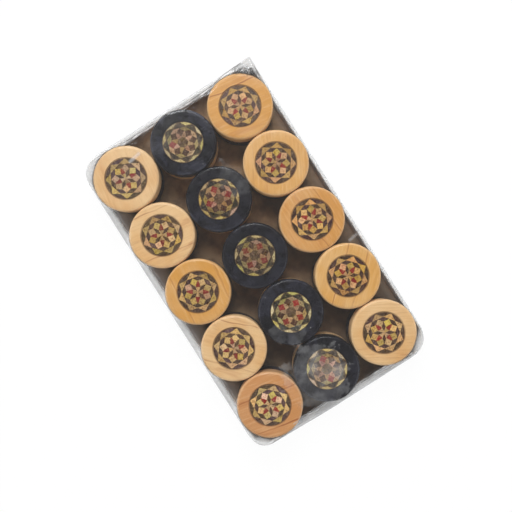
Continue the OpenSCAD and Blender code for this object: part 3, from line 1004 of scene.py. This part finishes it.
loops, sections = [], []
for inset, z, out_share, depth, section_place in film_rings():
    hx = max(HOOD_X + (WALL_X - HOOD_X) * out_share - inset, 0.0)
    hy = HOOD_Y + (WALL_Y - HOOD_Y) * out_share - inset
    radii = [r + (RIM_RADIUS - r) * out_share - inset for r in HOOD_RADII]
    loop = []
    for x, y in rounded_outline(hx, hy, radii, *OUTLINE_STEPS):
        down = 0.0
        right, back = (1 if x > 0 else -1), (1 if y > 0 else -1)
        if abs(x) > hx - 0.4 * MM and abs(y) < 2 * PITCH_Y:
            room = room_beside(y, PITCH_Y, PITCH_X, HOOD_X)
            pull = min(HOLLOW_SIDES[right], room) * depth
            x -= copysign(pull, x)
            down = 0.6 * pull * depth
        elif abs(y) > hy - 0.4 * MM and abs(x) < PITCH_X:
            room = room_beside(x, PITCH_X, 2 * PITCH_Y, HOOD_Y)
            pull = min(HOLLOW_ENDS[back, right], room) * depth
            y -= copysign(pull, y)
            down = 0.8 * pull * depth
        # The ear: spare film pulled out at the back right corner.
        if z > WALL_TOP:
            ear = (1 - out_share) ** 1.5 * smooth(-inset, -3.5 * MM, 0.0)
            along_end = min(max((x - 11.8 * MM) / (34 * MM), 0.0), 1.0) * smooth(y, 70 * MM, HOOD_Y)
            along_side = min(max((y - 67 * MM) / (9 * MM), 0.0), 1.0) * smooth(x, 40 * MM, HOOD_X)
            x, y = x + 0.75 * MM * along_side * ear, y + 1.55 * MM * along_end * ear
        loop.append((x, y + pressed_in(x, y) * out_share, z - down))
    loops.append(loop)
    sections += [section_place] * len(loop)
foot = rounded_outline(FOOT_X, FOOT_Y, [FOOT_RADIUS] * 4, *OUTLINE_STEPS)
loops.append([(x, y + pressed_in(x, y), FOOT_TOP) for x, y in foot])
sections += [2.0] * len(foot)
film_mesh = skin("upper film", loops, closed=False)
carry(film_mesh, "section", sections)

shape = bmesh.new()
shape.from_mesh(film_mesh)
bmesh.ops.remove_doubles(shape, verts=shape.verts, dist=0.02 * MM)
bmesh.ops.dissolve_degenerate(shape, edges=shape.edges, dist=0.005 * MM)
for vert in shape.verts:
    x, y, z = vert.co
    near = from_discs(x, y)
    crumple = smooth(x, 38 * MM, 45 * MM) * smooth(y, 70 * MM, 76 * MM)
    if z > HOOD_TOP - 0.1 * MM:
        vert.co.z -= 0.28 * MM * smooth(near, 14.2 * MM, 18.7 * MM)
        vert.co.z -= 0.05 * MM * wander(x * 180, y * 70, 0.3)
    elif z > 0.6 * MM:
        buckle = BUCKLE * wander(x * 220, y * 220, z * 60)
        vert.co.x -= copysign(buckle, x) if abs(x) > 45 * MM else 0.0
        vert.co.y -= copysign(buckle, y) if abs(y) > 75 * MM else 0.0
    if z > 10 * MM and near > 15.3 * MM:
        vert.co.z -= 0.5 * MM * crumple * wander(x * 500, y * 500, z * 200)
    # The film lies on the discs and on their rounded edges.
    if near < DISC_RADIUS + 0.1 * MM and z > 10 * MM:
        over_edge = min(max(near - (DISC_RADIUS - EDGE_ROUND), 0.0), EDGE_ROUND)
        edge_drop = EDGE_ROUND - sqrt(EDGE_ROUND ** 2 - over_edge ** 2)
        vert.co.z = max(vert.co.z, disc_top - edge_drop + ABOVE_DISCS)
bmesh.ops.recalc_face_normals(shape, faces=shape.faces)
shape.to_mesh(film_mesh)
shape.free()

# How much milk, creases and painted shade the film has at each point; all lengths here are in
# millimetres.
CLEAR_MILK, WALL_MILK = 0.010, 0.12
CLOUDY_CORNERS = ((-47, 78, 14, 0.50), (-47, -78, 11, 0.40), (47, -78, 12, 0.35))
EAR_X, EAR_Y = 46, 77
EAR_DISC_X, EAR_DISC_Y = 30.5, 60.6
places = [0.0] * len(film_mesh.vertices)
film_mesh.attributes["section"].data.foreach_get("value", places)
looks = []
for vert, place in zip(film_mesh.vertices, places):
    x, y, _ = vert.co / MM
    cloudy, folds, painted_ear_shade = CLEAR_MILK, 0.0, 0.0
    if place > 1.5:
        cloudy += WALL_MILK
    else:
        beyond = smooth(from_discs(*vert.co.xy) / MM, 14.7, 15.6)
        end = smooth(abs(y), 71.5, 75.0)
        side = smooth(abs(x), 43.0, 45.6)
        on_slope = smooth(place, 0.08, 0.3)
        outer = smooth(place, 0.3, 0.55)
        high_up = smooth(place, 0.03, 0.12) * (1 - min(place, 1.0))
        by_end = 0.17 * outer + 0.05 * on_slope if y > 0 else 0.25 * on_slope
        # The left side is much milkier than the right: haze, and painted light for the lit band
        # along the left wall.
        side_haze_and_painted_light = 0.38 * on_slope + 0.55 * high_up if x < 0 else 0.13 * on_slope
        cloudy += beyond * max(by_end * end, side_haze_and_painted_light * side)
        cloudy += beyond * smooth(abs(x), 37.0, 42.0) * (0.030 if x < 0 else 0.010)
        folds = beyond * (0.6 if y > 0 else 0.75) * end * smooth(abs(x), 47.0, 36.0)
        folds = max(folds, beyond * 0.25 * side * smooth(x, 0, 40))
        for cx, cy, reach, much in CLOUDY_CORNERS:
            at_corner = smooth(hypot(x - cx, y - cy), reach, reach * 0.6)
            cloudy = max(cloudy, beyond * much * at_corner)
        # The crumple, with painted shade over the shaded corner below it, lies in an arc close
        # round the disc; the tip beyond it is only cloudy.
        at_ear = smooth(hypot(x - EAR_X, y - EAR_Y), 13.0, 4.0)
        from_disc = hypot(x - EAR_DISC_X, y - EAR_DISC_Y)
        tip = smooth(from_disc, 18.4, 19.6) * smooth(x, 34, 38)
        folds = max(folds, beyond * at_ear) * (1 - tip)
        round_disc = degrees(atan2(y - EAR_DISC_Y, x - EAR_DISC_X))
        in_arc = smooth(round_disc, 18, 32) * smooth(round_disc, 74, 60)
        # Painted shade in the arc, for the tray's shaded corner under the crumple.
        painted_ear_shade = beyond * smooth(from_disc, 19.4, 17.6) * in_arc
        in_arc = smooth(round_disc, 10, 25) * smooth(round_disc, 80, 65)
        cloudy = max(cloudy, 0.22 * smooth(from_disc, 18.2, 19.8) * in_arc)
    looks.append((cloudy, folds, painted_ear_shade))
for name, values in zip(("milk", "creased", "smoky"), zip(*looks)):
    carry(film_mesh, name, values)

upper_film = piece("upper_film", film_mesh, film_finish, crisp=60)
wall = upper_film.modifiers.new("film thickness", "SOLIDIFY")
wall.thickness = FILM_THICKNESS
wall.offset = -1
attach(upper_film, "film")
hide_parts("film_upper")
